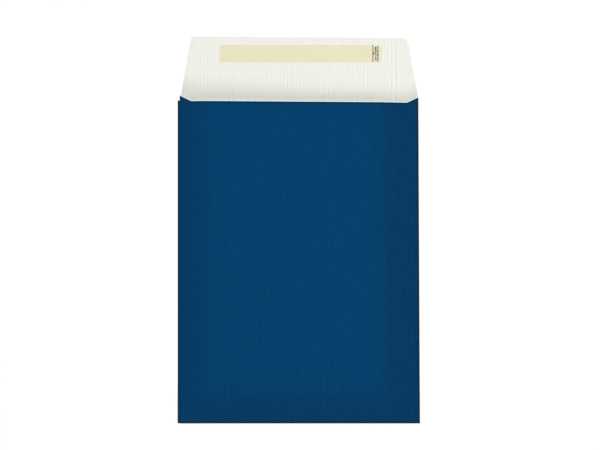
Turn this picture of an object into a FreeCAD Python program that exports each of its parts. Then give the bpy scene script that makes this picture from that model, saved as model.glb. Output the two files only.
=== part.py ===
import FreeCAD, Part
import os
import Sketcher

# A flat gift bag with a self-seal flap, lying on its back on a table.
#
# The bag is one sheet of paper folded into a flat tube. Its back panel runs on past the mouth as
# the flap. The front panel is glued over a lap at the left fold, and the foot of the tube is
# folded under and glued as a hem. The front stands off the back as a low cushion that is open at
# the mouth. The flap carries a strip of adhesive under a release liner.
#
# Every piece is drawn in millimetres from the bag's lower left corner on the table: X across the
# bag from the left fold, Y up the bag from the bottom fold, Z up from the table. Its Placement
# then brings the middle of the whole outline to the origin.

SIZES = {
    # the folded sheet
    "paper": 0.15,           # thickness of one ply
    "bag_width": 170.4,      # left fold to right fold, at the bottom fold
    "right_lean": 1.1,       # how much narrower the bag is at its mouth
    "bag_length": 226.5,     # bottom fold to mouth, on the centre line
    "hem": 15.5,             # length folded under the back
    "pinch": 2.0,            # plies pressed together above the bottom fold
    # the glued lap at the left fold
    "lap_width": 15.5,       # lap that lies under the front panel
    "lap_reveal": 1.5,       # strip of lap left bare beside the front panel's cut edge
    # how far the front stands off the back
    "crown": 5.5,            # height of the flat middle above the table
    "band_lift": 3.9,        # height gained across the stiff band beside each fold
    "right_band": 16.0,      # stiff band beside the right fold
    "left_ease": 10.5,       # run over which the left side eases into the flat middle
    "right_ease": 15.5,
    "bottom_ease": 15.5,
    # the cut at the mouth, made by one knife that sits a little askew
    "cut_skew": 0.4,         # degrees, lower at the right
    "corner_rise": 3.9,      # height of the front panel's raised corners
    "corner_run": 8.0,       # length of the slope down from each corner
    # the flap
    "flap_length": 40.9,     # corners of the mouth to the flap's free edge
    "flap_left_inset": 2.2,  # left fold to the flap's root
    "flap_right_inset": 0.2,
    "flap_taper": 7.6,       # how far each side leans in between root and free edge
    "flap_left_round": 2.0,
    "flap_right_round": 4.5,
    # the closure
    "liner_length": 113.6,
    "liner_width": 12.0,
    "liner_paper": 0.08,     # thickness of the release liner
    "liner_inset": 5.2,      # liner's edge to the flap's free edge
    "liner_shift": 0.65,     # liner's middle to the right of the flap's
    "dry_edge": 1.0,         # liner's overhang past the adhesive all round
    "adhesive": 0.05,        # thickness of the adhesive
}


def cell(name):
    """The sheet's value of that name, for use in an expression."""
    return f"Sizes.{name}"


PLY = cell("paper")
OVERRUN = "10"  # how far each cut runs past the paper

doc = FreeCAD.newDocument("flat_gift_bag")
sheet = doc.addObject("Spreadsheet::Sheet", "Sizes")
for row, (name, value) in enumerate(SIZES.items(), start=1):
    sheet.set(f"A{row}", name)
    sheet.set(f"B{row}", str(value))
    sheet.setAlias(f"B{row}", name)
doc.recompute()


def number(expression):
    """An expression's present value, to lay geometry out near where its constraints put it."""
    return float(sheet.evalExpression(str(expression)))


# ---- places that several pieces share ----

def right_fold(y):
    """X of the right fold, y up from the bottom fold."""
    return f"({cell('bag_width')} - {cell('right_lean')} * ({y}) / {cell('bag_length')})"


def askew(x, y):
    """Y of a cut that crosses the centre line at y, where the knife passes x."""
    return f"(({y}) - (({x}) - {cell('bag_width')} / 2) * tan({cell('cut_skew')}))"


TIP_Y = f"({cell('bag_length')} + {cell('corner_rise')})"   # the mouth's corners, the flap's root
TOP_Y = f"({TIP_Y} + {cell('flap_length')})"                # the flap's free edge
ROOT_LEFT = cell("flap_left_inset")
ROOT_RIGHT = f"({right_fold(TIP_Y)} - {cell('flap_right_inset')})"
END_LEFT = f"({ROOT_LEFT} + {cell('flap_taper')})"
END_RIGHT = f"({ROOT_RIGHT} - {cell('flap_taper')})"
PLACE_X = f"-{cell('bag_width')} / 2"
PLACE_Y = f"-{askew(END_LEFT, TOP_Y)} / 2"


# ---- building blocks ----

def new_body(name):
    """An empty body whose origin sits at the bag's lower left corner."""
    body = doc.addObject("PartDesign::Body", name)
    body.Label = name
    body.setExpression("Placement.Base.x", PLACE_X)
    body.setExpression("Placement.Base.y", PLACE_Y)
    return body


def new_sketch(body, name, plane, offset):
    """A sketch on one of the body's origin planes, moved along that plane's normal."""
    sketch = body.newObject("Sketcher::SketchObject", name)
    planes = [f for f in body.Origin.OriginFeatures if f.Role == plane]
    sketch.AttachmentSupport = [(planes[0], "")]
    sketch.MapMode = "FlatFace"
    sketch.setExpression("AttachmentOffset.Base.z", offset)
    return sketch


def pin(sketch, kind, edge, end, expression):
    """Hold one end of an edge, or an arc's centre, at an expression's distance from the origin."""
    datum = Sketcher.Constraint(kind, -1, 1, edge, end, number(expression))
    sketch.setExpression(f"Constraints[{sketch.addConstraint(datum)}]", expression)


def draw_outline(sketch, corners):
    """A closed outline through corners, anticlockwise, each given as across, up.

    The edge that leaves a corner is straight, or half a turn where the corner has a third
    expression: that of the turn's centre across the sketch.
    """
    spots = [FreeCAD.Vector(number(corner[0]), number(corner[1])) for corner in corners]
    for i, (corner, start) in enumerate(zip(corners, spots)):
        end = spots[(i + 1) % len(spots)]
        if len(corner) == 3:
            centre = FreeCAD.Vector(number(corner[2]), (start.y + end.y) / 2)
            out = start - centre
            quarter = centre + FreeCAD.Vector(-out.y, out.x)
            sketch.addGeometry(Part.Arc(start, quarter, end))
        else:
            sketch.addGeometry(Part.LineSegment(start, end))
    for i, corner in enumerate(corners):
        pin(sketch, "DistanceX", i, 1, corner[0])
        pin(sketch, "DistanceY", i, 1, corner[1])
        sketch.addConstraint(Sketcher.Constraint("Coincident", i, 2, (i + 1) % len(spots), 1))
        if len(corner) == 3:
            pin(sketch, "DistanceX", i, 3, corner[2])


def add_pad(body, name, sketch, length):
    pad = body.newObject("PartDesign::Pad", name)
    pad.Profile = sketch
    pad.setExpression("Length", length)
    return pad


def add_cut(body, name, sketch, depth):
    """A pocket that runs along the sketch's normal, and has to take something away."""
    doc.recompute()
    before = body.Shape.Volume
    cut = body.newObject("PartDesign::Pocket", name)
    cut.Profile = sketch
    cut.Reversed = True
    cut.setExpression("Length", depth)
    doc.recompute()
    if not body.Shape.Volume < before:
        raise SystemExit(f"{name} cuts nothing")
    return cut


def add_round(body, name, spot, radius):
    """Round the upright edge of the body's tip that stands nearest to spot."""
    doc.recompute()
    feature = body.Tip
    shape = feature.Shape

    def distance(i):
        edge = shape.Edges[i]
        upright = abs(edge.tangentAt(edge.FirstParameter).z) > 0.99
        return (edge.CenterOfMass.sub(spot)).Length if upright else float("inf")

    nearest = min(range(len(shape.Edges)), key=distance)
    fillet = body.newObject("PartDesign::Fillet", name)
    fillet.Base = (feature, [f"Edge{nearest + 1}"])
    fillet.setExpression("Radius", radius)
    return fillet


# ---- the tube's cross-sections ----

FOLD_RADIUS = f"(2 * {PLY})"                               # of the bottom fold, round two plies
HEM_LIFT = f"(2 * {PLY})"                                  # the back rides on the hem's two plies
FREE_LIFT = f"({cell('crown')} - 2 * {PLY})"               # the middle's lift off the back
HEM_SHARE = f"({cell('band_lift')} / {FREE_LIFT})"         # share of it reached at the hem's end
EASE_END = f"({cell('hem')} + {cell('bottom_ease')})"
TUBE_END = f"({cell('bag_length')} + 2 * {cell('corner_rise')})"  # where the knife still finds paper


def front_heights(base, share):
    """Heights of the front panel's outer face where the back's underside is at base."""
    return {
        "right": f"({base} + 2 * {PLY})",
        "right_knee": f"({base} + 2 * {PLY} + {share} * {cell('band_lift')})",
        "middle": f"({base} + 2 * {PLY} + {share} * {FREE_LIFT})",
        "left_knee": f"({base} + 3 * {PLY} + {share} * {cell('band_lift')})",
        "left_edge": f"({base} + 3 * {PLY} + {share} * {cell('band_lift')}"
                     f" * ({cell('lap_reveal')} - {PLY}) / ({cell('lap_width')} - {PLY}))",
    }


def front_places(y):
    """X of the front panel's bends, y up from the bottom fold."""
    knee = f"({right_fold(y)} - {cell('right_band')})"
    return {
        "right": f"({right_fold(y)} - {PLY})",
        "right_knee": knee,
        "right_middle": f"({knee} - {cell('right_ease')})",
        "left_middle": f"({cell('lap_width')} + {cell('left_ease')})",
    }


def outer_section(body, name, y, base, share):
    """The tube's outside at y: the back, the two folds, the front and its edge on the lap."""
    z, x = front_heights(base, share), front_places(y)
    sketch = new_sketch(body, name, "XZ_Plane", f"-({y})")
    corners = [
        (PLY, base),
        (x["right"], base, x["right"]),
        (x["right"], z["right"]),
        (x["right_knee"], z["right_knee"]),
        (x["right_middle"], z["middle"]),
        (x["left_middle"], z["middle"]),
        (cell("lap_width"), z["left_knee"]),
        (cell("lap_reveal"), z["left_edge"]),
        (cell("lap_reveal"), f"({z['left_edge']} - {PLY})"),
        (PLY, f"({base} + 2 * {PLY})", PLY),
    ]
    draw_outline(sketch, corners)
    return sketch


def inner_section(body, name, y, base, share):
    """The tube's inside at y, one ply in from the outside and two where the lap lies."""
    z, x = front_heights(base, share), front_places(y)
    sketch = new_sketch(body, name, "XZ_Plane", f"-({y})")
    crease = f"({base} + {PLY})"
    corners = [
        (PLY, crease),
        (x["right"], crease),
        (x["right_knee"], f"({z['right_knee']} - {PLY})"),
        (x["right_middle"], f"({z['middle']} - {PLY})"),
        (x["left_middle"], f"({z['middle']} - {PLY})"),
        (cell("lap_width"), f"({z['left_knee']} - {PLY})"),
        (cell("lap_width"), f"({z['left_knee']} - 2 * {PLY})"),
    ]
    draw_outline(sketch, corners)
    return sketch


def add_loft(body, kind, name, sections):
    """A loft with straight runs from each section to the next."""
    loft = body.newObject(f"PartDesign::{kind}", name)
    loft.Profile = sections[0]
    loft.Sections = sections[1:]
    loft.Ruled = True
    return loft


# ---- bag ----

def make_bag():
    body = new_body("bag")

    back = new_sketch(body, "back_outline", "XY_Plane", "0")
    draw_outline(back, [
        (PLY, EASE_END),
        (front_places(EASE_END)["right"], EASE_END),
        (front_places(TUBE_END)["right"], TUBE_END),
        (PLY, TUBE_END),
    ])
    add_pad(body, "back", back, PLY)

    outside = [
        outer_section(body, "outside_at_fold", FOLD_RADIUS, HEM_LIFT, "0"),
        outer_section(body, "outside_at_hem_end", cell("hem"), HEM_LIFT, HEM_SHARE),
        outer_section(body, "outside_at_ease_end", EASE_END, "0", "1"),
        outer_section(body, "outside_at_mouth", TUBE_END, "0", "1"),
    ]
    add_loft(body, "AdditiveLoft", "tube", outside)

    hem = new_sketch(body, "hem_section", "YZ_Plane", "0")
    draw_outline(hem, [
        (FOLD_RADIUS, "0"),
        (cell("hem"), "0"),
        (cell("hem"), HEM_LIFT),
        (FOLD_RADIUS, HEM_LIFT),
        (FOLD_RADIUS, f"(2 * {FOLD_RADIUS})", FOLD_RADIUS),
    ])
    add_pad(body, "hem", hem, cell("bag_width"))

    pinch_share = (f"({HEM_SHARE} * ({cell('pinch')} - {FOLD_RADIUS})"
                   f" / ({cell('hem')} - {FOLD_RADIUS}))")
    inside = [
        inner_section(body, "inside_at_pinch", cell("pinch"), HEM_LIFT, pinch_share),
        inner_section(body, "inside_at_hem_end", cell("hem"), HEM_LIFT, HEM_SHARE),
        inner_section(body, "inside_at_ease_end", EASE_END, "0", "1"),
        inner_section(body, "inside_past_mouth", f"({TUBE_END} + {OVERRUN})", "0", "1"),
    ]
    add_loft(body, "SubtractiveLoft", "inside", inside)

    cut_mouth(body)
    add_flap(body)
    return body


def cut_mouth(body):
    """The knife's cuts across the tube: through every ply, then through the front alone."""
    far_y = f"({TUBE_END} + {OVERRUN})"
    reveal = cell("lap_reveal")
    tip_x = right_fold(TIP_Y)
    slope_left = f"({reveal} + {cell('corner_run')})"
    slope_right = f"({tip_x} - {cell('corner_run')})"
    beyond = f"({cell('bag_width')} + {OVERRUN})"

    every_ply = new_sketch(body, "end_outline", "XY_Plane", f"-{OVERRUN}")
    draw_outline(every_ply, [
        (f"-{OVERRUN}", askew("0", cell("bag_length"))),
        (reveal, askew(reveal, cell("bag_length"))),
        (reveal, askew(reveal, TIP_Y)),
        (beyond, askew(beyond, TIP_Y)),
        (beyond, far_y),
        (f"-{OVERRUN}", far_y),
    ])
    add_cut(body, "end_cut", every_ply, f"2 * {OVERRUN} + {cell('crown')}")

    front_ply = new_sketch(body, "mouth_outline", "XY_Plane", PLY)
    draw_outline(front_ply, [
        (reveal, askew(reveal, TIP_Y)),
        (slope_left, askew(slope_left, cell("bag_length"))),
        (slope_right, askew(slope_right, cell("bag_length"))),
        (tip_x, askew(tip_x, TIP_Y)),
        (beyond, far_y),
        (f"-{OVERRUN}", far_y),
    ])
    add_cut(body, "mouth_cut", front_ply, f"{OVERRUN} + {cell('crown')}")


def add_flap(body):
    """The back panel's run past the mouth, narrowing to a free edge with round corners."""
    outline = new_sketch(body, "flap_outline", "XY_Plane", "0")
    draw_outline(outline, [
        (END_LEFT, cell("bag_length")),
        (END_RIGHT, cell("bag_length")),
        (ROOT_RIGHT, askew(ROOT_RIGHT, TIP_Y)),
        (END_RIGHT, askew(END_RIGHT, TOP_Y)),
        (END_LEFT, askew(END_LEFT, TOP_Y)),
        (ROOT_LEFT, askew(ROOT_LEFT, TIP_Y)),
    ])
    add_pad(body, "flap", outline, PLY)
    for name, x, radius in (
        ("left_corner", END_LEFT, "flap_left_round"),
        ("right_corner", END_RIGHT, "flap_right_round"),
    ):
        spot = FreeCAD.Vector(number(x), number(askew(x, TOP_Y)), 0)
        add_round(body, name, spot, cell(radius))


# ---- closure ----

FLAP_MIDDLE = f"(({ROOT_LEFT} + {ROOT_RIGHT}) / 2)"
LINER_X = f"({FLAP_MIDDLE} + {cell('liner_shift')} - {cell('liner_length')} / 2)"
LINER_Y = f"({TOP_Y} - {cell('liner_inset')} - {cell('liner_width')})"


def make_strip(name, edge, base, thickness):
    """A strip on the flap, edge in from the liner's outline all round, lying at height base."""
    strip = doc.addObject("Part::Box", name)
    strip.Label = name
    strip.setExpression("Length", f"{cell('liner_length')} - 2 * {edge}")
    strip.setExpression("Width", f"{cell('liner_width')} - 2 * {edge}")
    strip.setExpression("Height", thickness)
    strip.setExpression("Placement.Base.x", f"{PLACE_X} + {LINER_X} + {edge}")
    strip.setExpression("Placement.Base.y", f"{PLACE_Y} + {LINER_Y} + {edge}")
    strip.setExpression("Placement.Base.z", base)
    return strip


pieces = [
    make_bag(),
    make_strip("adhesive_strip", cell("dry_edge"), PLY, cell("adhesive")),
    make_strip("release_liner", "0", f"{PLY} + {cell('adhesive')}", cell("liner_paper")),
]
doc.recompute()

# ---- checks and export ----

for item in doc.Objects:
    if "Invalid" in item.State or "Error" in item.State:
        raise SystemExit(f"{item.Label} failed: {item.State}")
    if item.isDerivedFrom("Sketcher::SketchObject") and not item.FullyConstrained:
        raise SystemExit(f"{item.Label} is not fully constrained")
os.makedirs("parts", exist_ok=True)
for piece in pieces:
    shape = piece.Shape
    if shape.isNull() or not shape.isValid() or len(shape.Solids) != 1:
        raise SystemExit(f"{piece.Label} is not one valid solid")
    shape.exportStep(f"parts/{piece.Label}.step")
    box = shape.BoundBox
    print(f"{piece.Label}: {shape.Volume:.1f} mm3, X {box.XMin:.2f} to {box.XMax:.2f},"
          f" Y {box.YMin:.2f} to {box.YMax:.2f}, Z {box.ZMin:.2f} to {box.ZMax:.2f}")
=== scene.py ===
import math

import bmesh
import bpy
import numpy as np
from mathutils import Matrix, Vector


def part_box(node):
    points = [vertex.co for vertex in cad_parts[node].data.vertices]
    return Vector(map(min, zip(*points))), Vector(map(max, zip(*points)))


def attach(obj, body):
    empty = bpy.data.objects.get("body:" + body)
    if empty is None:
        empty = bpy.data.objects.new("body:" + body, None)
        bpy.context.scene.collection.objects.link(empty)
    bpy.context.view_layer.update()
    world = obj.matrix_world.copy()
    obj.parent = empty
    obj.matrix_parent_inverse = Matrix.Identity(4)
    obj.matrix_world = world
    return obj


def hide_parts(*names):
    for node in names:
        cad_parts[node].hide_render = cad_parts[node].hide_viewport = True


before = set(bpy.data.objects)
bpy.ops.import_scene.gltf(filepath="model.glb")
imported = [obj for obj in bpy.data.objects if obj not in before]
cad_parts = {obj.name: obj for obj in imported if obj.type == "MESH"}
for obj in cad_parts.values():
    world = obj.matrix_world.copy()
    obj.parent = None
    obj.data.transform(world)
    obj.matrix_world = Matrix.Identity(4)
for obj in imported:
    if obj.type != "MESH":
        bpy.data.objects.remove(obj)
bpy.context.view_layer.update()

# A flat gift bag of ribbed paper, lying on its back with its self-seal flap open.
#
# The bag is one sheet: front panel, right fold, back panel, left fold and a glue lap that lies
# under the front panel's cut edge. Its foot is folded under as a hem, and its back panel runs on
# past the mouth as the flap. The sheet is drawn through the middle of the paper, the ribs are
# pressed into it, and then it gets its thickness. Lengths here are in millimetres from the bag's
# lower left corner on the table, and MM turns them into metres.

MM = 0.001
NEAR = 1e-6                                   # places closer than this are the same place
bag_low, bag_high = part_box("bag")

# ---- the sheet's sizes ----

PLY = 0.15                                    # thickness of the paper
WIDTH = (bag_high.x - bag_low.x) / MM         # left fold to right fold, at the bottom fold
LEAN = 1.1                                    # how much narrower the bag is at its mouth
LENGTH = 226.5                                # bottom fold to mouth, on the centre line
HEM = 15.5                                    # length folded under the back
LAP = 15.5                                    # width of the glue lap
REVEAL = 1.5                                  # strip of lap left bare beside the front's cut edge
SKEW = math.tan(math.radians(0.4))            # the knife sat a little askew, lower at the right
CORNER_RISE = 3.9                             # height of the mouth's raised corners
CORNER_RUN = 8.0                              # length of the slope down from each corner
CORNERS = LENGTH + CORNER_RISE                # height up the bag of the mouth's corners
FLAP = 40.9                                   # corners of the mouth to the flap's free edge
FLAP_INSET_LEFT = 2.2                         # side fold to the root of the flap
FLAP_INSET_RIGHT = 0.2
FLAP_TAPER = 7.6                              # how much further in the flap is at its free edge
FLAP_ROUND_LEFT = 2.0                         # radius of the free edge's corners
FLAP_ROUND_RIGHT = 4.5
FREE_EDGE = CORNERS + FLAP

# ---- how the plies lie on each other ----

SIDE_BEND = 0.10                              # radius of the side folds, to mid paper
FOLD_EDGE = SIDE_BEND + PLY / 2               # a side fold's centre to its outside
GLUED_STEP = PLY + 0.03                       # front panel's step up over the lap and its glue
LAP_EASE = 3.0                                # how far past the lap that step comes down again
FOOT_BEND = 0.185                             # radius of the bottom fold, to mid tube
FOOT_CENTRE = FOOT_BEND + SIDE_BEND + PLY / 2  # bottom fold's centre above the table
FLAT_TUBE = SIDE_BEND + PLY / 2               # the tube's middle above the table
EASE_END = 31.0                               # where the back is down on the table past the hem

# ---- how the front stands off the back ----

CROWN = (bag_high.z - bag_low.z) / MM - 3.5 * PLY  # the bag's height, less its plies and ribs
LEFT_BAND = 15.5                              # stiff band beside the fold
LEFT_EASE = 10.5                              # and how far past it the front has come level
RIGHT_BAND = 16.0
RIGHT_EASE = 15.5
FOOT_BAND = 15.5
FOOT_EASE = 15.5
PINCH = 0.7                                   # where the front starts to part from the back
FULLNESS = 0.985                              # share of the crown that the front fills
BROAD_WAVE = 0.012                            # heights of its slack waves, as shares of the crown
FINE_WAVE = 0.008
LIP_WAVE = 0.02
LIP_WAVE_REACH = 40.0                         # how far below the mouth the lip's wave starts

# ---- how the flap has sprung up off the table, at its free edge ----

SPRING = 0.35                                 # at the left
SPRING_RIGHT = 0.2                            # and how much more at the right
SPRING_WAVE = 0.05                            # height of a slow wave along it

# ---- painted shade on the front's bands beside the folds: how much, how far in it starts and ends fading ----

BAND_SHADE_LEFT = (0.6, 4.0, 32.0)
BAND_SHADE_RIGHT = (0.9, 14.5, 37.5)
BAND_SHADE_FOOT = (0.7, 11.0, 35.5)
DARKER_BACK = 0.45                           # and the print darker all over the back
DARKER_HEM = 0.9                             # and all over the hem and the bottom fold

# ---- painted shade on the folds and along the mouth's lip, and where the print is rubbed off with a painted highlight ----

FOLD_SHADE_REACH = 2.6                            # how far in from a fold the painted shade reaches
LIP_SHADE_STRENGTH = 0.85                           # how deep the painted shade along the mouth's lip is, beside a fold's 1
LIP_FULL_SHADE = 1.2                             # how far in from the mouth it is all that dark
LIP_REACH = 2.4                               # and how far in that has faded away
EDGE_WORN = 0.52                              # how far in the print is rubbed off the cut edges, with a painted highlight
EDGE_PALE = 0.8 * EDGE_WORN                   # and how far in it is rubbed off altogether

# ---- painted shade on the bare paper just past the mouth, where the front's lip shades it ----

FLAP_SHADE_DEPTH = 0.75                             # where the painted shade is deepest
FLAP_SHADE_START = 3.4                              # how far past the mouth it starts to fade, at the left
FLAP_SHADE_START_SLANT = 0.0141                     # and how much sooner, for each millimetre across
FLAP_SHADE_REACH = 12.9                             # how far past the mouth it has faded away
FLAP_SHADE_REACH_LEFT = 19.8                        # how far that is at the left
FLAP_SHADE_SLANT = 0.067                            # and how much less, for each millimetre across
LIP_SHADOW = 0.33                             # how far the lip's own shadow goes, for its height
LIP_LOWEST = 0.3                              # the least height it goes by, next to the folds
LIP_DEPTH = 1.7                               # and how much of the painted shade is left off where that real shadow falls

# ---- ribs ----

RIB_PITCH = 1.98
RIB_HEIGHT = 0.045
RIB_UNEVENNESS = 2.6                          # how far ribs may stray, side to side, in ribs
RIB_SEED = 7.0
FOOT_RIBS = 0.4                               # share of a rib's height left round the bottom fold

# ---- how closely the sheet is drawn ----

COLUMN = RIB_PITCH / 6                        # spacing of its columns
FOLD_STEPS = 8                                # steps from column to column round a side fold
HEM_ROWS = (HEM, HEM - 0.3, 8.0, 2.0)         # rows down the hem, by their height up the bag
FOOT_STEPS = 6                                # steps from row to row round the bottom fold
FOOT_ROWS = (0.8, 1.5, 3.0, 9.0, HEM, 18.0, 21.0, 24.0, 27.5, EASE_END)
PANEL_STEPS = 9                               # steps from the last of those to the mouth
LIP_ROWS = (LIP_REACH, 1.8, LIP_FULL_SHADE)      # rows by their depth below the mouth
FLAP_ROWS = (0.04, 0.12, 0.22, 0.33, 0.45, 0.6, 0.8, 0.96, 1)  # by their share of the flap
WELD = 0.002                                  # points closer than this are joined
CUT_ANGLE = 40                                # degrees: shading breaks at edges that turn more


def right_fold(y):
    """X of the right fold, y up from the bottom fold."""
    return WIDTH - LEAN * y / LENGTH


def askew(x, y):
    """Y of a cut that crosses the bag's centre line at y, where the knife passes x."""
    return y - (x - WIDTH / 2) * SKEW


def blend(low, high, value):
    """From 0 at low to 1 at high, smoothly."""
    share = np.clip((value - low) / (high - low), 0, 1)
    return share * share * (3 - 2 * share)


def wave(place, length, start=0.0):
    """A gentle wave from -1 to 1, which turns by a radian in each length, beginning at start."""
    return np.sin(place / length + start)


TIP_RIGHT = right_fold(CORNERS)
ROOT_LEFT = FLAP_INSET_LEFT
ROOT_RIGHT = TIP_RIGHT - FLAP_INSET_RIGHT
END_LEFT = ROOT_LEFT + FLAP_TAPER
END_RIGHT = ROOT_RIGHT - FLAP_TAPER


def mouth_edge(x):
    """Y of the front panel's cut edge, which rises to a tip at each side."""
    stops = [REVEAL, REVEAL + CORNER_RUN, TIP_RIGHT - CORNER_RUN, TIP_RIGHT]
    return askew(x, LENGTH) + np.interp(x, stops, [CORNER_RISE, 0, 0, CORNER_RISE])


# ---- shapes that the paper takes ----

def stand_off(distance, band, run):
    """Share of the crown at that distance from a fold: straight over the stiff band, then easing."""
    slope = 1 / (band + run / 2)
    left = np.clip(band + run - distance, 0, run)
    straight = slope * np.maximum(distance, 0)
    return np.where(distance < band, straight, 1 - slope * left**2 / (2 * run))


def lift(x, y):
    """How far the front panel stands off the back, with slow waves where the paper is slack."""
    left = stand_off(x, LEFT_BAND, LEFT_EASE)
    right = stand_off(right_fold(y) - x, RIGHT_BAND, RIGHT_EASE)
    full = CROWN * (left * right) * stand_off(y - PINCH, FOOT_BAND, FOOT_EASE)
    broad = BROAD_WAVE * wave(x, length=21, start=0.6) * wave(y, length=37, start=1.1)
    fine = FINE_WAVE * wave(x, length=9, start=-y / 53)
    lip = LIP_WAVE * blend(LENGTH - LIP_WAVE_REACH, LENGTH, y) * wave(x, length=15, start=0.4)
    return full * (FULLNESS + (broad + fine) + lip)


def flap_rise(x, y):
    """How far the flap has sprung up off the table."""
    reach = np.clip((y - CORNERS) / FLAP, 0, 1)
    return reach**2 * (SPRING + SPRING_RIGHT * x / WIDTH + SPRING_WAVE * wave(x, length=19))


def fading(distance, strength, start, end):
    """That strength at a distance of up to start, then less, and nothing from end on."""
    return strength * (1 - blend(start, end, distance))


def band_shade_and_tone(x, y):
    """Painted shade on the front's stiff bands beside the folds, where they slope down to the table.
    """
    left = fading(x, *BAND_SHADE_LEFT)
    right = fading(right_fold(y) - x, *BAND_SHADE_RIGHT)
    return np.maximum(np.maximum(left, right), fading(y, *BAND_SHADE_FOOT))


def fold_and_lip_shade(x, y):
    """Painted shade: 1 on the folds, where the paper turns away, down to 0 just inside them."""
    return fading(np.minimum(np.minimum(x, right_fold(y) - x), y), 1, 0, FOLD_SHADE_REACH)


def flap_shade(x, y):
    """Painted shade on the bare paper: most just past the mouth, down to 0 as the flap runs on."""
    past = np.maximum(y - mouth_edge(x), 0)
    start = FLAP_SHADE_START - FLAP_SHADE_START_SLANT * x
    reach = np.maximum(FLAP_SHADE_REACH, FLAP_SHADE_REACH_LEFT - FLAP_SHADE_SLANT * x)
    under_lip = np.exp(-past / (LIP_SHADOW * np.maximum(lift(x, LENGTH), LIP_LOWEST)))
    return np.clip(fading(past, FLAP_SHADE_DEPTH, start, reach) - LIP_DEPTH * under_lip, 0, 1)


# ---- the sheet's columns and rows ----

def through(stops, step):
    """Places from the first stop to the last, through every stop, at most step apart."""
    places = [stops[0]]
    for start, end in zip(stops, stops[1:]):
        count = max(1, math.ceil(abs(end - start) / step))
        places += list(np.linspace(start, end, count + 1)[1:])
    return np.array(places)


def rounded(corner, before, after, radius, count):
    """Points of the arc that rounds a corner between the points before and after it."""
    corner, before, after = (np.array(p, float) for p in (corner, before, after))
    back = (before - corner) / np.linalg.norm(before - corner)
    on = (after - corner) / np.linalg.norm(after - corner)
    half = math.acos(float(back @ on)) / 2
    middle = (back + on) / np.linalg.norm(back + on)
    centre = corner + middle * radius / math.sin(half)
    start = corner + back * radius / math.tan(half) - centre
    end = corner + on * radius / math.tan(half) - centre
    turn = math.pi - 2 * half
    points = []
    for share in np.linspace(0, 1, count):
        weight = math.sin((1 - share) * turn) * start + math.sin(share * turn) * end
        points.append(centre + weight / math.sin(turn))
    return points


def flap_outline():
    """The flap's outline from its root at the left round to its root at the right."""
    root_left = (ROOT_LEFT, askew(ROOT_LEFT, CORNERS))
    end_left = (END_LEFT, askew(END_LEFT, FREE_EDGE))
    end_right = (END_RIGHT, askew(END_RIGHT, FREE_EDGE))
    root_right = (ROOT_RIGHT, askew(ROOT_RIGHT, CORNERS))
    left = rounded(end_left, root_left, end_right, FLAP_ROUND_LEFT, count=8)
    right = rounded(end_right, end_left, root_right, FLAP_ROUND_RIGHT, count=12)
    return np.array([root_left, *left, *right, root_right])


def sheet_columns(outline):
    """The tube's cross-section, from the front panel's cut edge all the way round to the lap's.

    x is each column's place at the mouth's corners, turn its way round a side fold (0 on the
    front's side, half a turn on the back's), side the fold that it bends round, if any.
    """
    left, right = FOLD_EDGE, TIP_RIGHT - FOLD_EDGE
    slope_left, slope_right = REVEAL + CORNER_RUN, TIP_RIGHT - CORNER_RUN
    front = through([REVEAL, slope_left, LAP, slope_right, right], COLUMN)
    back = through([right, *outline[::-1, 0], REVEAL, left], COLUMN)
    lap = through([left, REVEAL, slope_left, LAP], COLUMN)
    bend = np.linspace(0, math.pi, FOLD_STEPS + 1)[1:-1]
    runs = [
        ("front", front, np.zeros(len(front)), 0),
        ("right fold", np.full(len(bend), right), bend, 1),
        ("back", back, np.full(len(back), math.pi), 0),
        ("left fold", np.full(len(bend), left), bend[::-1], -1),
        ("lap", lap, np.zeros(len(lap)), 0),
    ]
    return {
        "panel": np.concatenate([[name] * len(x) for name, x, _, _ in runs]),
        "x": np.concatenate([x for _, x, _, _ in runs]),
        "turn": np.concatenate([turn for _, _, turn, _ in runs]),
        "side": np.concatenate([np.full(len(x), side) for _, x, _, side in runs]),
    }


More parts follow.
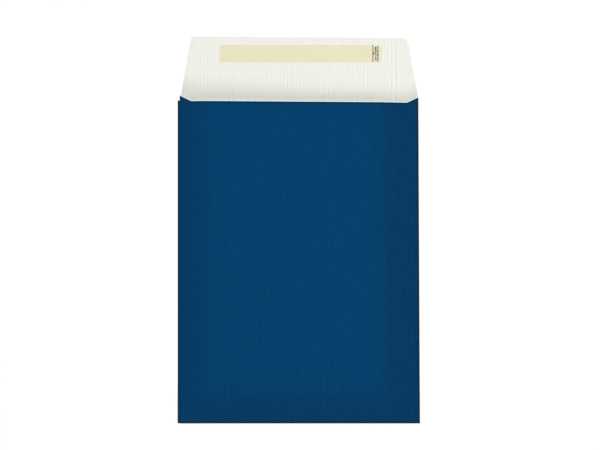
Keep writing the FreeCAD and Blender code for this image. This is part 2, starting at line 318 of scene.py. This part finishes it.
def lay_sheet(columns, outline):
    """Every point of the sheet's middle as a grid of rows and columns, with what is known there.

    The rows run from the hem's cut edge, round the bottom fold, up the panels to the mouth, up
    its raised corners and on along the flap. Every row crosses every panel, and sheet_faces
    leaves out the cells that aren't paper.
    """
    panel, x, turn = columns["panel"], columns["x"], columns["turn"]
    glued = GLUED_STEP * (1 - blend(LAP, LAP + LAP_EASE, x))
    out = SIDE_BEND * np.cos(turn) + np.where(panel == "front", glued, 0)
    mouth = askew(x, LENGTH)
    corner = np.where(np.isin(panel, ("front", "lap")), mouth_edge(x), mouth + CORNER_RISE)
    tip = np.interp(x, outline[:, 0], outline[:, 1])
    rows = []

    def add_row(y, z, part):
        rows.append((np.broadcast_to(y, x.shape), z, part))

    for y in HEM_ROWS:
        add_row(y, FOOT_CENTRE + glued - FOOT_BEND - out, "hem")
    for angle in np.linspace(0, math.pi, FOOT_STEPS + 1):
        reach = FOOT_BEND + out
        y = FOOT_CENTRE + glued - reach * math.sin(angle)
        add_row(y, FOOT_CENTRE + glued - reach * math.cos(angle), "foot")
    raised = FOOT_CENTRE + glued + FOOT_BEND
    for y in FOOT_ROWS:
        base = raised + (FLAT_TUBE - raised) * blend(HEM, EASE_END, y)
        add_row(y, base + out, "over hem" if y < HEM else "panel")
    for level in np.linspace(0, 1, PANEL_STEPS + 1)[1:-1]:
        add_row(EASE_END + level * (mouth - EASE_END), FLAT_TUBE + out, "panel")
    for below in LIP_ROWS:
        add_row(mouth - below, FLAT_TUBE + out, "panel")

    # From here the rows keep the rubbed strip's depths below the cut edge, or shares of its rise
    # where it has risen too little for that.
    for below in (EDGE_WORN, EDGE_PALE, 0):
        add_row(np.minimum(corner - below, mouth - 0.3 * below), FLAT_TUBE + out, "panel")
    rise = corner - mouth
    worn_from = np.maximum(rise - EDGE_WORN, 0.2 * rise)
    pale_from = np.maximum(rise - EDGE_PALE, 0.4 * rise)
    for up in (0.4 * worn_from, 0.75 * worn_from, worn_from, pale_from, rise):
        add_row(mouth + up, FLAT_TUBE + out, "corner")
    for level in FLAP_ROWS:
        add_row(corner + level * (tip - corner), FLAT_TUBE + out, "flap")

    part = np.array([part for _, _, part in rows])
    y = np.array([y for y, _, _ in rows])
    share = (x - FOLD_EDGE) / (TIP_RIGHT - 2 * FOLD_EDGE)
    reach = right_fold(np.minimum(y, CORNERS)) - 2 * FOLD_EDGE
    across = FOLD_EDGE + share * reach + columns["side"] * SIDE_BEND * np.sin(turn)
    in_tube = np.isin(part, ("over hem", "panel", "corner"))[:, None]
    z = np.array([z for _, z, _ in rows])
    z = z + np.where(in_tube & np.isin(panel, ("front", "lap")), lift(across, y), 0)
    z = z + np.where((part == "flap")[:, None], flap_rise(across, y), 0)
    return {
        "x": across, "y": y, "z": z, "part": part, "mouth": mouth, "corner": corner, "tip": tip,
        "short": (x < REVEAL - NEAR) | (panel == "left fold"),  # columns that stop at the mouth
    }


def sheet_marks(columns, grid):
    """What the paper's finish follows: places across the flat sheet, and where it is marked."""
    panel, part = columns["panel"], grid["part"][:, None]
    steps = np.abs(np.diff(columns["x"])) + np.abs(np.diff(columns["turn"])) * SIDE_BEND
    across = np.concatenate([[0], np.cumsum(steps)])
    on_front, on_back = panel == "front", panel == "back"
    # the front's bands get painted shade; the back is darker all over
    darkening = np.where(on_front, band_shade_and_tone(grid["x"], grid["y"]), DARKER_BACK)
    turned = np.isin(part, ("hem", "foot"))
    cut = np.where(on_back, grid["tip"], grid["corner"])
    from_cut = np.where(grid["short"], FLAP, np.abs(cut - grid["y"]))
    from_cut[0] = 0                           # the hem's own cut edge
    # painted shade along the front's lip at the mouth
    lip = np.where(on_front, fading(from_cut, LIP_SHADE_STRENGTH, LIP_FULL_SHADE, LIP_REACH), 0)
    held = np.isin(part, ("hem", "over hem")) & on_back
    ribbed = np.where((on_front | on_back) & ~held, 1.0, 0.0)
    return {
        "across": np.broadcast_to(across * MM, grid["x"].shape),
        "band_shade_and_tone": np.where(turned, DARKER_HEM, darkening),
        "fold_and_lip_shade": np.maximum(fold_and_lip_shade(grid["x"], grid["y"]), lip),
        # rubbed-off print with a painted highlight along the cut edges
        "rubbed_and_highlit": fading(from_cut, 1, EDGE_PALE, EDGE_WORN),
        "ribbing": ribbed * np.where(part == "foot", FOOT_RIBS, 1.0),
        # painted shade on the flap past the mouth
        "flap_shade": np.where(on_back, flap_shade(grid["x"], grid["y"]), 0.0),
    }


def cell(row, column, width):
    """The four corners of a cell of a grid that is that many points wide."""
    first = row * width + column
    return (first, first + 1, first + width + 1, first + width)


def sheet_faces(columns, grid):
    """The grid's cells that are paper, each as its four corners, printed side outward."""
    x, short = columns["x"], grid["short"]
    on_flap = (columns["panel"] == "back") & (x >= ROOT_LEFT - NEAR) & (x <= ROOT_RIGHT + NEAR)
    stands = grid["corner"] - grid["mouth"] > NEAR
    everywhere = np.ones(len(x) - 1, bool)
    drawn = {
        "flap": on_flap[:-1] & on_flap[1:],
        "corner": ~(short[:-1] | short[1:]) & (stands[:-1] | stands[1:]),
    }
    cells = []
    for row, part in enumerate(grid["part"][1:]):
        for column in np.flatnonzero(drawn.get(part, everywhere)).tolist():
            cells.append(cell(row, column, len(x)))
    return cells


# ---- meshes ----

def place(points):
    """Points in millimetres from the bag's lower left corner, as places in the frame."""
    corner = np.array([bag_low.x, bag_low.y, 0])
    return np.asarray(points, float) * MM + corner


def new_mesh(name, x, y, z, cells):
    """A mesh through the points of a grid, each cell as its four corners."""
    mesh = bpy.data.meshes.new(name)
    points = place(np.stack([x, y, z], axis=-1).reshape(-1, 3))
    mesh.from_pydata(points.tolist(), [], cells)
    return mesh


def new_piece(name, mesh):
    """A mesh as a piece of the scene."""
    piece = bpy.data.objects.new(name, mesh)
    bpy.context.scene.collection.objects.link(piece)
    return piece


def fill_marks(mesh, marks):
    """Note each mark on the mesh's points, under its name."""
    for name, values in marks.items():
        layer = mesh.attributes.new(name, "FLOAT", "POINT")
        layer.data.foreach_set("value", np.ascontiguousarray(values, np.float32).ravel())


def tidy_mesh(mesh):
    """Join points that fall together and drop those that no face uses."""
    work = bmesh.new()
    work.from_mesh(mesh)
    bmesh.ops.delete(work, geom=[v for v in work.verts if not v.link_faces], context="VERTS")
    bmesh.ops.remove_doubles(work, verts=work.verts, dist=WELD * MM)
    work.to_mesh(mesh)
    work.free()


def settled(piece):
    """Turn a piece's modifiers into plain mesh."""
    graph = bpy.context.evaluated_depsgraph_get()
    mesh = bpy.data.meshes.new_from_object(
        piece.evaluated_get(graph), preserve_all_data_layers=True, depsgraph=graph)
    piece.modifiers.clear()
    old, piece.data = piece.data, mesh
    mesh.name = piece.name
    bpy.data.meshes.remove(old)
    return piece


def thicken(piece, thickness, inner=0, edges=0):
    """Give a sheet its thickness, half to each side, and shade it smooth but for its cut edges.

    The inner side and the cut edges take their finishes that many slots after the outer side's.
    """
    wall = piece.modifiers.new("Thickness", "SOLIDIFY")
    wall.thickness = thickness
    wall.offset = 0
    wall.material_offset = inner
    wall.material_offset_rim = edges
    settled(piece)
    piece.data.shade_smooth()
    piece.data.set_sharp_from_angle(angle=math.radians(CUT_ANGLE))


# ---- node building ----

def add_node(tree, kind, values=None, **settings):
    """A node of that kind, with its settings, and values for its sockets by name or number."""
    node = tree.nodes.new(kind)
    for name, setting in settings.items():
        setattr(node, name, setting)
    for socket, value in (values or {}).items():
        if isinstance(value, bpy.types.NodeSocket):
            tree.links.new(value, node.inputs[socket])
        else:
            node.inputs[socket].default_value = value
    return node


def maths(tree, operation, *values):
    """The result of an operation on numbers."""
    return add_node(tree, "ShaderNodeMath", dict(enumerate(values)), operation=operation).outputs[0]


def scaled(tree, vector, scale):
    """A vector or a colour times a number."""
    node = add_node(tree, "ShaderNodeVectorMath", {0: vector, "Scale": scale}, operation="SCALE")
    return node.outputs["Vector"]


def add_sockets(tree, in_out, sockets):
    """Give a tree its named inputs or outputs, each of its kind."""
    kinds = {"number": "NodeSocketFloat", "whole": "NodeSocketInt", "place": "NodeSocketVector",
             "shape": "NodeSocketGeometry", "finish": "NodeSocketMaterial"}
    for name, kind in sockets.items():
        tree.interface.new_socket(name, in_out=in_out, socket_type=kinds[kind])


def apply_tree(piece, tree, sizes):
    """Run a Geometry Nodes tree on a piece, each size set by its socket's identifier."""
    modifier = piece.modifiers.new(tree.name, "NODES")
    modifier.node_group = tree
    for item in tree.interface.items_tree:
        if item.item_type == "SOCKET" and item.in_out == "INPUT" and item.name in sizes:
            modifier[item.identifier] = sizes[item.name]
    return settled(piece)


def end_tree(tree, shape, finish, result):
    """End a Geometry Nodes tree: real mesh in its finish, put out under that name."""
    real = add_node(tree, "GeometryNodeRealizeInstances", {"Geometry": shape})
    made = add_node(tree, "GeometryNodeSetMaterial", {
        "Geometry": real.outputs["Geometry"], "Material": finish})
    add_node(tree, "NodeGroupOutput", {result: made.outputs["Geometry"]})


def rib_tree():
    """Presses ribs into a sheet that knows its places across, and notes each rib's height."""
    tree = bpy.data.node_groups.new("Paper Ribs", "GeometryNodeTree")
    tree.is_modifier = True
    add_sockets(tree, "INPUT", {
        "Sheet": "shape", "Rib Pitch": "number", "Rib Height": "number",
        "Unevenness": "number", "Seed": "number", "Paper": "finish"})
    add_sockets(tree, "OUTPUT", {"Sheet": "shape"})
    given = tree.nodes.new("NodeGroupInput").outputs
    across, ribbing = (
        add_node(tree, "GeometryNodeInputNamedAttribute", {"Name": name}, data_type="FLOAT")
        for name in ("across", "ribbing"))
    count = maths(tree, "DIVIDE", across.outputs["Attribute"], given["Rib Pitch"])
    wander = add_node(tree, "ShaderNodeTexNoise", {
        "W": maths(tree, "ADD", count, given["Seed"]), "Scale": 0.14, "Detail": 1.0},
        noise_dimensions="1D")
    strength = add_node(tree, "ShaderNodeTexNoise", {
        "W": maths(tree, "ADD", count, maths(tree, "MULTIPLY", given["Seed"], 3.0)),
        "Scale": 0.3, "Detail": 2.0}, noise_dimensions="1D")
    drift = maths(tree, "SUBTRACT", wander.outputs[0], 0.5)
    stray = maths(tree, "MULTIPLY", drift, given["Unevenness"])
    turns = maths(tree, "ADD", count, stray)
    ripple = maths(tree, "SINE", maths(tree, "MULTIPLY", turns, math.tau))
    swell = maths(tree, "MULTIPLY", ripple, maths(tree, "MULTIPLY", strength.outputs[0], 2.0))
    height = maths(tree, "MULTIPLY", swell, ribbing.outputs["Attribute"])
    push = maths(tree, "MULTIPLY", height, maths(tree, "MULTIPLY", given["Rib Height"], 0.5))
    normal = tree.nodes.new("GeometryNodeInputNormal").outputs["Normal"]
    noted = add_node(tree, "GeometryNodeStoreNamedAttribute", {
        "Geometry": given["Sheet"], "Name": "rib", "Value": height},
        data_type="FLOAT", domain="POINT")
    moved = add_node(tree, "GeometryNodeSetPosition", {
        "Geometry": noted.outputs["Geometry"], "Offset": scaled(tree, normal, push)})
    end_tree(tree, moved.outputs["Geometry"], given["Paper"], "Sheet")
    return tree


def dash_tree():
    """Lays short raised dashes of uneven length along every run of edges that it is given."""
    tree = bpy.data.node_groups.new("Liner Dashes", "GeometryNodeTree")
    tree.is_modifier = True
    add_sockets(tree, "INPUT", {
        "Runs": "shape", "Dash Pitch": "number", "Dash Length": "number", "Dash Width": "number",
        "Dash Height": "number", "Seed": "whole", "Ink": "finish"})
    add_sockets(tree, "OUTPUT", {"Dashes": "shape"})
    given = tree.nodes.new("NodeGroupInput").outputs
    runs = add_node(tree, "GeometryNodeMeshToCurve", {"Mesh": given["Runs"]})
    spots = add_node(tree, "GeometryNodeResampleCurve", {
        "Curve": runs.outputs["Curve"], "Length": given["Dash Pitch"]}, mode="LENGTH")
    points = add_node(tree, "GeometryNodeCurveToPoints", {
        "Curve": spots.outputs["Curve"]}, mode="EVALUATED")
    size = add_node(tree, "ShaderNodeCombineXYZ", {
        "X": given["Dash Width"], "Y": given["Dash Length"], "Z": given["Dash Height"]})
    dash = add_node(tree, "GeometryNodeMeshCube", {"Size": size.outputs["Vector"]})
    uneven = add_node(tree, "FunctionNodeRandomValue", {
        "Min": (0.6, 0.6, 1.0), "Max": (1.4, 1.1, 1.0), "Seed": given["Seed"]},
        data_type="FLOAT_VECTOR")
    laid = add_node(tree, "GeometryNodeInstanceOnPoints", {
        "Points": points.outputs["Points"], "Instance": dash.outputs["Mesh"],
        "Scale": uneven.outputs["Value"]})
    end_tree(tree, laid.outputs["Instances"], given["Ink"], "Dashes")
    return tree


# ---- finishes ----

def grain_group():
    """Paper's own surface: how bright and how high each spot is, from ribs, fibres and clouding."""
    tree = bpy.data.node_groups.new("Paper Grain", "ShaderNodeTree")
    add_sockets(tree, "INPUT", {
        "Place": "place", "Rib": "number", "Rib Tone": "number", "Fibre Size": "number",
        "Fibre Tone": "number", "Tooth Tone": "number", "Cloud Tone": "number"})
    add_sockets(tree, "OUTPUT", {"Brightness": "number", "Height": "number"})
    given = tree.nodes.new("NodeGroupInput").outputs
    fine = scaled(tree, given["Place"], maths(tree, "DIVIDE", 1.0, given["Fibre Size"]))
    long = add_node(tree, "ShaderNodeMapping", {"Vector": fine, "Scale": (1.0, 0.2, 1.0)})
    fibre = add_node(tree, "ShaderNodeTexNoise", {
        "Vector": long.outputs["Vector"], "Scale": 1.0, "Detail": 3.0, "Roughness": 0.6})
    tooth = add_node(tree, "ShaderNodeTexNoise", {
        "Vector": long.outputs["Vector"], "Scale": 6.0, "Detail": 2.0, "Roughness": 0.7})
    cloud = add_node(tree, "ShaderNodeTexNoise", {
        "Vector": given["Place"], "Scale": 90.0, "Detail": 2.0, "Roughness": 0.5})
    patchy = add_node(tree, "ShaderNodeMapRange", {
        "Value": cloud.outputs[0], "From Min": 0.35, "From Max": 0.65, "To Min": 0.3, "To Max": 1.7})
    rib = maths(tree, "MULTIPLY", given["Rib"], patchy.outputs["Result"])
    brightness = maths(tree, "ADD", maths(tree, "MULTIPLY", rib, given["Rib Tone"]), 1.0)
    for noise, tone in ((fibre, "Fibre Tone"), (tooth, "Tooth Tone"), (cloud, "Cloud Tone")):
        uneven = maths(tree, "SUBTRACT", noise.outputs[0], 0.5)
        brightness = maths(tree, "ADD", maths(tree, "MULTIPLY", uneven, given[tone]), brightness)
    both = maths(tree, "ADD", fibre.outputs[0], tooth.outputs[0])
    add_node(tree, "NodeGroupOutput", {
        "Brightness": brightness, "Height": maths(tree, "MULTIPLY", both, 0.5)})
    return tree


def shade(red, green, blue):
    """A colour as the shader takes it, from its red, green and blue out of 255 on a screen."""
    parts = [value / 255 for value in (red, green, blue)]
    return (*[p / 12.92 if p <= 0.04045 else ((p + 0.055) / 1.055) ** 2.4 for p in parts], 1.0)


def mark(tree, name):
    """What the piece notes under that name, as a number."""
    return add_node(tree, "ShaderNodeAttribute", attribute_name=name).outputs["Fac"]


def mixed(tree, share, first, second):
    """A colour from the first at a share of 0 to the second at 1."""
    values = {0: share, 6: first, 7: second}  # the node's own sockets for a mix of colours
    return add_node(tree, "ShaderNodeMix", values, data_type="RGBA").outputs[2]


NAVY = shade(4, 62, 104)
# painted shade of the front's bands, and the darker print of the back and hem
SHADE_AND_TONE_NAVY = shade(7, 54, 92)
# painted shade on the folds and along the mouth's lip
FOLD_AND_LIP_SHADE_NAVY = shade(14, 40, 58)
# rubbed-off print with a painted highlight along the cut edges, bluer and brighter than the paper
RUBBED_AND_HIGHLIT = shade(212, 244, 255)
WHITE = shade(238, 238, 230)
# the bare paper's painted shade past the mouth
FLAP_SHADE_WHITE = shade(209, 209, 202)
CORE = shade(246, 248, 250)
CREAM = shade(225, 219, 183)
PALE_CREAM = shade(226, 222, 192)
DRY_CREAM = shade(224, 220, 193)
INK = shade(74, 57, 10)
GLUE = shade(226, 222, 204)
NAVY_SHEEN = (0.1, 0.5, 1.0, 1.0)             # tint of the print's gloss
PLAIN_SHEEN = (1.0, 1.0, 1.0, 1.0)
ROUGH_SPREAD = 0.06                           # how far a spot's roughness is from the finish's own
RELIEF = 0.03                                 # height of the fibres


def printed_colour(tree):
    """Navy: painted shade on bands, folds and lip; darker back and hem; rubbed off, with painted
    highlight, at cut edges.
    """
    flat = mixed(tree, mark(tree, "band_shade_and_tone"), NAVY, SHADE_AND_TONE_NAVY)
    fold_shaded_print = mixed(tree, mark(tree, "fold_and_lip_shade"), flat, FOLD_AND_LIP_SHADE_NAVY)
    return mixed(tree, mark(tree, "rubbed_and_highlit"), fold_shaded_print, RUBBED_AND_HIGHLIT)


def bare_colour(tree):
    """White, with painted shade just past the mouth."""
    return mixed(tree, mark(tree, "flap_shade"), WHITE, FLAP_SHADE_WHITE)


def liner_colour(tree):
    """Cream silicone paper, paler past the printed line and duller where it overhangs the glue."""
    face = mixed(tree, mark(tree, "tab"), CREAM, PALE_CREAM)
    return mixed(tree, mark(tree, "dry"), face, DRY_CREAM)


def make_finish(name, grain, colour, rough, *, fibre, bump, ribs=0.0, tooth=0.0, clouds=0.0,
                fibre_size=0.9, sheen=0.3, tint=PLAIN_SHEEN):
    """A grained finish. colour is a colour, or a function that makes one from the material's tree.

    ribs, fibre, tooth and clouds are how much each of them changes the colour's brightness, and
    bump is how deep the fibres and the tooth are.
    """
    material = bpy.data.materials.new(name)
    material.use_nodes = True
    tree = material.node_tree
    shader = tree.nodes["Principled BSDF"]
    surface = add_node(tree, "ShaderNodeGroup", {
        "Place": tree.nodes.new("ShaderNodeTexCoord").outputs["Object"], "Rib": mark(tree, "rib"),
        "Rib Tone": ribs, "Fibre Size": fibre_size * MM, "Fibre Tone": fibre, "Tooth Tone": tooth,
        "Cloud Tone": clouds}, node_tree=grain).outputs
    base = colour(tree) if callable(colour) else colour[:3]
    tree.links.new(scaled(tree, base, surface["Brightness"]), shader.inputs["Base Color"])
    spread = add_node(tree, "ShaderNodeMapRange", {
        "Value": surface["Height"], "From Min": 0.25, "From Max": 0.75,
        "To Min": rough - ROUGH_SPREAD, "To Max": rough + ROUGH_SPREAD})
    tree.links.new(spread.outputs["Result"], shader.inputs["Roughness"])
    relief = add_node(tree, "ShaderNodeBump", {
        "Strength": bump, "Distance": RELIEF * MM, "Height": surface["Height"]})
    tree.links.new(relief.outputs["Normal"], shader.inputs["Normal"])
    shader.inputs["Specular IOR Level"].default_value = sheen
    shader.inputs["Specular Tint"].default_value = tint
    return material


def make_finishes():
    """The finishes of every piece, each under a short name."""
    grain = grain_group()
    return {
        "printed": make_finish(
            "Printed navy paper", grain, printed_colour, rough=0.74, ribs=0.065, fibre=0.5,
            fibre_size=1.1, tooth=0.6, clouds=0.05, bump=0.8, sheen=0.12, tint=NAVY_SHEEN),
        "bare": make_finish(
            "Bare white paper", grain, bare_colour, rough=0.78, ribs=0.037, fibre=0.13,
            tooth=0.06, clouds=0.012, bump=0.8),
        "core": make_finish(
            "Cut edge of the paper", grain, CORE, rough=0.85, fibre=0.12, fibre_size=0.2, bump=0.6),
        "liner": make_finish(
            "Silicone liner paper", grain, liner_colour, rough=0.42, fibre=0.075, fibre_size=1.6,
            clouds=0.08, bump=0.12, sheen=0.4),
        "ink": make_finish(
            "Liner ink", grain, INK, rough=0.7, fibre=0.4, fibre_size=0.3, bump=0.1, sheen=0.1),
        "adhesive": make_finish(
            "Adhesive film", grain, GLUE, rough=0.25, fibre=0.03, fibre_size=2.5, clouds=0.05,
            bump=0.5, sheen=0.5),
    }


# ---- bag ----

def make_bag_sheet(finishes):
    """The whole bag: its one sheet, ribbed, then thickened in its three finishes."""
    outline = flap_outline()
    columns = sheet_columns(outline)
    grid = lay_sheet(columns, outline)
    mesh = new_mesh("bag_sheet", grid["x"], grid["y"], grid["z"], sheet_faces(columns, grid))
    fill_marks(mesh, sheet_marks(columns, grid))
    tidy_mesh(mesh)
    bag = new_piece("bag_sheet", mesh)
    apply_tree(bag, rib_tree(), {
        "Rib Pitch": RIB_PITCH * MM, "Rib Height": RIB_HEIGHT * MM, "Unevenness": RIB_UNEVENNESS,
        "Seed": RIB_SEED, "Paper": finishes["printed"]})
    bag.data.materials.clear()
    for name in ("printed", "bare", "core"):
        bag.data.materials.append(finishes[name])
    bag.data.polygons.foreach_set("material_index", [0] * len(bag.data.polygons))
    thicken(bag, PLY * MM, inner=1, edges=2)
    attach(bag, "root")
    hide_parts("bag")


# ---- closure ----

STRIP_STEP = 1.5                              # spacing of a strip's rows and columns
STRIP_NIP = 0.5                               # how far its corners are nipped in
DRY_EDGE = 1.0                                # the liner's overhang past the adhesive

LINER_LINE = 5.81                             # the printed line to the liner's right end
LINE_WIDTH = 0.53
SPOT = 1.3                                    # width of the printed spot
SPOT_PAST_LINE = 0.35                         # its middle, on from the line
SPOT_DOWN = 0.49                              # and down from the liner's top, as a share of its width
INK_HEIGHT = 0.012                            # how far the printing stands up
SPOT_HEIGHT = 1.5 * INK_HEIGHT                # the spot covers part of the line
BAR_NIP = 0.25                                # share of its width that a bar's corners are nipped
DASH_PITCH = 0.8
DASH_LENGTH = 0.7
DASH_WIDTH = 1.1
DASH_HEIGHT = 2 * INK_HEIGHT                  # half of it is sunk in the liner
DASH_SEED = 11
DASH_RUNS = (                                 # each in from the liner's right end, and where it
    (3.95, 1.6, 8.6),                         # starts and ends down from the liner's top
    (3.95, 9.4, 10.4),
    (2.4, 0.9, 4.1),
    (2.4, 5.0, 11.0),
)


def make_strip(name, node, finish):
    """A strip of the same size as its solid, but following the flap as the flap springs up."""
    low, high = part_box(node)
    left, right = (low.x - bag_low.x) / MM, (high.x - bag_low.x) / MM
    foot, top = (low.y - bag_low.y) / MM, (high.y - bag_low.y) / MM
    line = right - LINER_LINE
    xs = through([left, left + DRY_EDGE, line, right - DRY_EDGE, right], STRIP_STEP)
    ys = through([foot, foot + DRY_EDGE, top - DRY_EDGE, top], STRIP_STEP)
    x, y = np.meshgrid(xs, ys)
    z = (low.z + high.z) / 2 / MM + flap_rise(x, y)
    from_edge = np.minimum(np.minimum(x - left, right - x), np.minimum(y - foot, top - y))
    marks = {
        "dry": 1 - np.clip(from_edge / DRY_EDGE, 0, 1),
        "tab": np.where(x > line - NEAR, 1.0, 0.0),
    }
    for row, up in ((0, STRIP_NIP), (-1, -STRIP_NIP)):
        for column, on in ((0, STRIP_NIP), (-1, -STRIP_NIP)):
            x[row, column] += on
            y[row, column] += up
    cells = [cell(row, column, len(xs))
             for row in range(len(ys) - 1) for column in range(len(xs) - 1)]
    mesh = new_mesh(name, x, y, z, cells)
    fill_marks(mesh, marks)
    mesh.materials.append(finish)
    strip = new_piece(name, mesh)
    thicken(strip, high.z - low.z)
    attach(strip, "root")
    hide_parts(node)
    return strip


def bar(mesh, x, y, across, up, height, lengths=1):
    """Add a low bar with nipped corners, centred on x, y, in that many lengths so it can bend."""
    nip = min(across, up) * BAR_NIP
    straight = np.linspace(nip - up / 2, up / 2 - nip, lengths + 1)
    rungs = [(-up / 2, across / 2 - nip), *((level, across / 2) for level in straight),
             (up / 2, across / 2 - nip)]
    rings = []
    for level, reach in rungs:
        corners = ((-reach, 0), (reach, 0), (reach, height), (-reach, height))
        rings.append([mesh.verts.new((x + side, y + level, z)) for side, z in corners])
    for near, far in zip(rings, rings[1:]):
        for i in range(4):
            j = (i + 1) % 4
            mesh.faces.new((near[i], far[i], far[j], near[j]))
    mesh.faces.new(rings[0])
    mesh.faces.new(rings[-1][::-1])


def make_liner_print(finish):
    """The liner's printing, kept to plain marks: a line across it, a spot and two rows of dashes."""
    low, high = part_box("release_liner")
    right, top = high.x / MM, high.y / MM
    width, surface = (high.y - low.y) / MM, high.z / MM
    marks = bmesh.new()
    line = right - LINER_LINE
    bar(marks, line, top - width / 2, LINE_WIDTH, width, INK_HEIGHT, lengths=6)
    bar(marks, line + SPOT_PAST_LINE, top - width * SPOT_DOWN, SPOT, SPOT, SPOT_HEIGHT)
    for vert in marks.verts:
        vert.co.z += surface
    runs = bpy.data.meshes.new("dash_runs")
    ends = [(right - x, top - y, surface) for x, start, end in DASH_RUNS for y in (start, end)]
    runs.from_pydata(ends, [(i, i + 1) for i in range(0, len(ends), 2)], [])
    dashes = apply_tree(new_piece("dashes", runs), dash_tree(), {
        "Dash Pitch": DASH_PITCH, "Dash Length": DASH_LENGTH, "Dash Width": DASH_WIDTH,
        "Dash Height": DASH_HEIGHT, "Seed": DASH_SEED, "Ink": finish})
    marks.from_mesh(dashes.data)
    bpy.data.objects.remove(dashes)
    for vert in marks.verts:
        x, y = vert.co.x - bag_low.x / MM, vert.co.y - bag_low.y / MM
        vert.co.z += float(flap_rise(x, y))
        vert.co *= MM
    for face in marks.faces:
        face.material_index = 0
    mesh = bpy.data.meshes.new("liner_print")
    marks.to_mesh(mesh)
    marks.free()
    mesh.materials.append(finish)
    printing = new_piece("liner_print", mesh)
    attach(printing, "root")


# ---- surroundings ----

FLOOR_REACH = 6.0                             # metres each way from the bag
FLOOR_DROP = 0.06 * MM                        # below the table's level, clear of the ribs
FLOOR_GREY = 0.85                             # the floor's colour, as it lights the bag
FLOOR_SHADED = 0.65                           # and as it is seen, where it keeps the shadow
FLOOR_GLOW = 0.38                             # and glows, so that the rest of it is white
ROOM_LIGHT = 0.48
CAMERA_PLACE = (0.00081, 0.00365, 1.1728)     # metres
CAMERA_LENS = 100
CAMERA_SENSOR = 36


def grey(level):
    """A plain grey as the shader takes it."""
    return (level, level, level, 1.0)


def seen_directly(tree):
    """1 for what the camera sees, straight or in gloss or glass."""
    ray = tree.nodes.new("ShaderNodeLightPath").outputs
    shiny = maths(tree, "MAXIMUM", ray["Is Glossy Ray"], ray["Is Transmission Ray"])
    return maths(tree, "MAXIMUM", ray["Is Camera Ray"], shiny)


def make_floor():
    """A large pale floor that shows white to the camera and keeps a soft shadow."""
    mesh = bpy.data.meshes.new("floor")
    corners = ((-1, -1), (1, -1), (1, 1), (-1, 1))
    mesh.from_pydata([(FLOOR_REACH * x, FLOOR_REACH * y, -FLOOR_DROP) for x, y in corners],
                     [], [(0, 1, 2, 3)])
    floor = new_piece("floor", mesh)
    material = bpy.data.materials.new("Pale floor")
    material.use_nodes = True
    tree = material.node_tree
    tree.nodes.clear()
    matt = add_node(tree, "ShaderNodeBsdfDiffuse", {"Color": grey(FLOOR_GREY)})
    faint = add_node(tree, "ShaderNodeBsdfDiffuse", {"Color": grey(FLOOR_SHADED)})
    glow = add_node(tree, "ShaderNodeEmission", {"Color": grey(1.0), "Strength": FLOOR_GLOW})
    shown = add_node(tree, "ShaderNodeAddShader", {0: faint.outputs[0], 1: glow.outputs[0]})
    both = add_node(tree, "ShaderNodeMixShader", {
        0: seen_directly(tree), 1: matt.outputs[0], 2: shown.outputs[0]})
    add_node(tree, "ShaderNodeOutputMaterial", {"Surface": both.outputs[0]})
    mesh.materials.append(material)


def make_room():
    """A white surround that lights softly from everywhere above."""
    world = bpy.data.worlds.new("White room")
    world.use_nodes = True
    tree = world.node_tree
    tree.nodes.clear()
    light = add_node(tree, "ShaderNodeBackground", {"Color": grey(1.0), "Strength": ROOM_LIGHT})
    shown = add_node(tree, "ShaderNodeBackground", {"Color": grey(1.0), "Strength": 1.0})
    both = add_node(tree, "ShaderNodeMixShader", {
        0: seen_directly(tree), 1: light.outputs[0], 2: shown.outputs[0]})
    add_node(tree, "ShaderNodeOutputWorld", {"Surface": both.outputs[0]})
    bpy.context.scene.world = world


def make_softbox(name, stand, size, energy):
    """A square soft lamp at its stand, facing the middle of the bag."""
    light = bpy.data.lights.new(name, "AREA")
    light.shape = "SQUARE"
    light.size = size
    light.energy = energy
    softbox = bpy.data.objects.new(name, light)
    softbox.location = stand
    softbox.rotation_euler = softbox.location.to_track_quat("Z", "Y").to_euler()
    bpy.context.scene.collection.objects.link(softbox)


def make_camera():
    """A camera straight above, close to the middle of the bag."""
    data = bpy.data.cameras.new("Camera")
    data.lens = CAMERA_LENS
    data.sensor_width = CAMERA_SENSOR
    camera = bpy.data.objects.new("Camera", data)
    camera.location = CAMERA_PLACE
    bpy.context.scene.collection.objects.link(camera)
    bpy.context.scene.camera = camera


finishes = make_finishes()
make_bag_sheet(finishes)
make_strip("adhesive_film", "adhesive_strip", finishes["adhesive"])
make_strip("liner_strip", "release_liner", finishes["liner"])
make_liner_print(finishes["ink"])
make_floor()
make_room()
make_softbox("Overhead softbox", stand=(0.1, 0.48, 1.63), size=1.0, energy=12.9)
make_softbox("Side softbox", stand=(0.75, -0.85, 1.15), size=0.9, energy=5.7)
make_camera()
bpy.context.scene.view_settings.view_transform = "Standard"
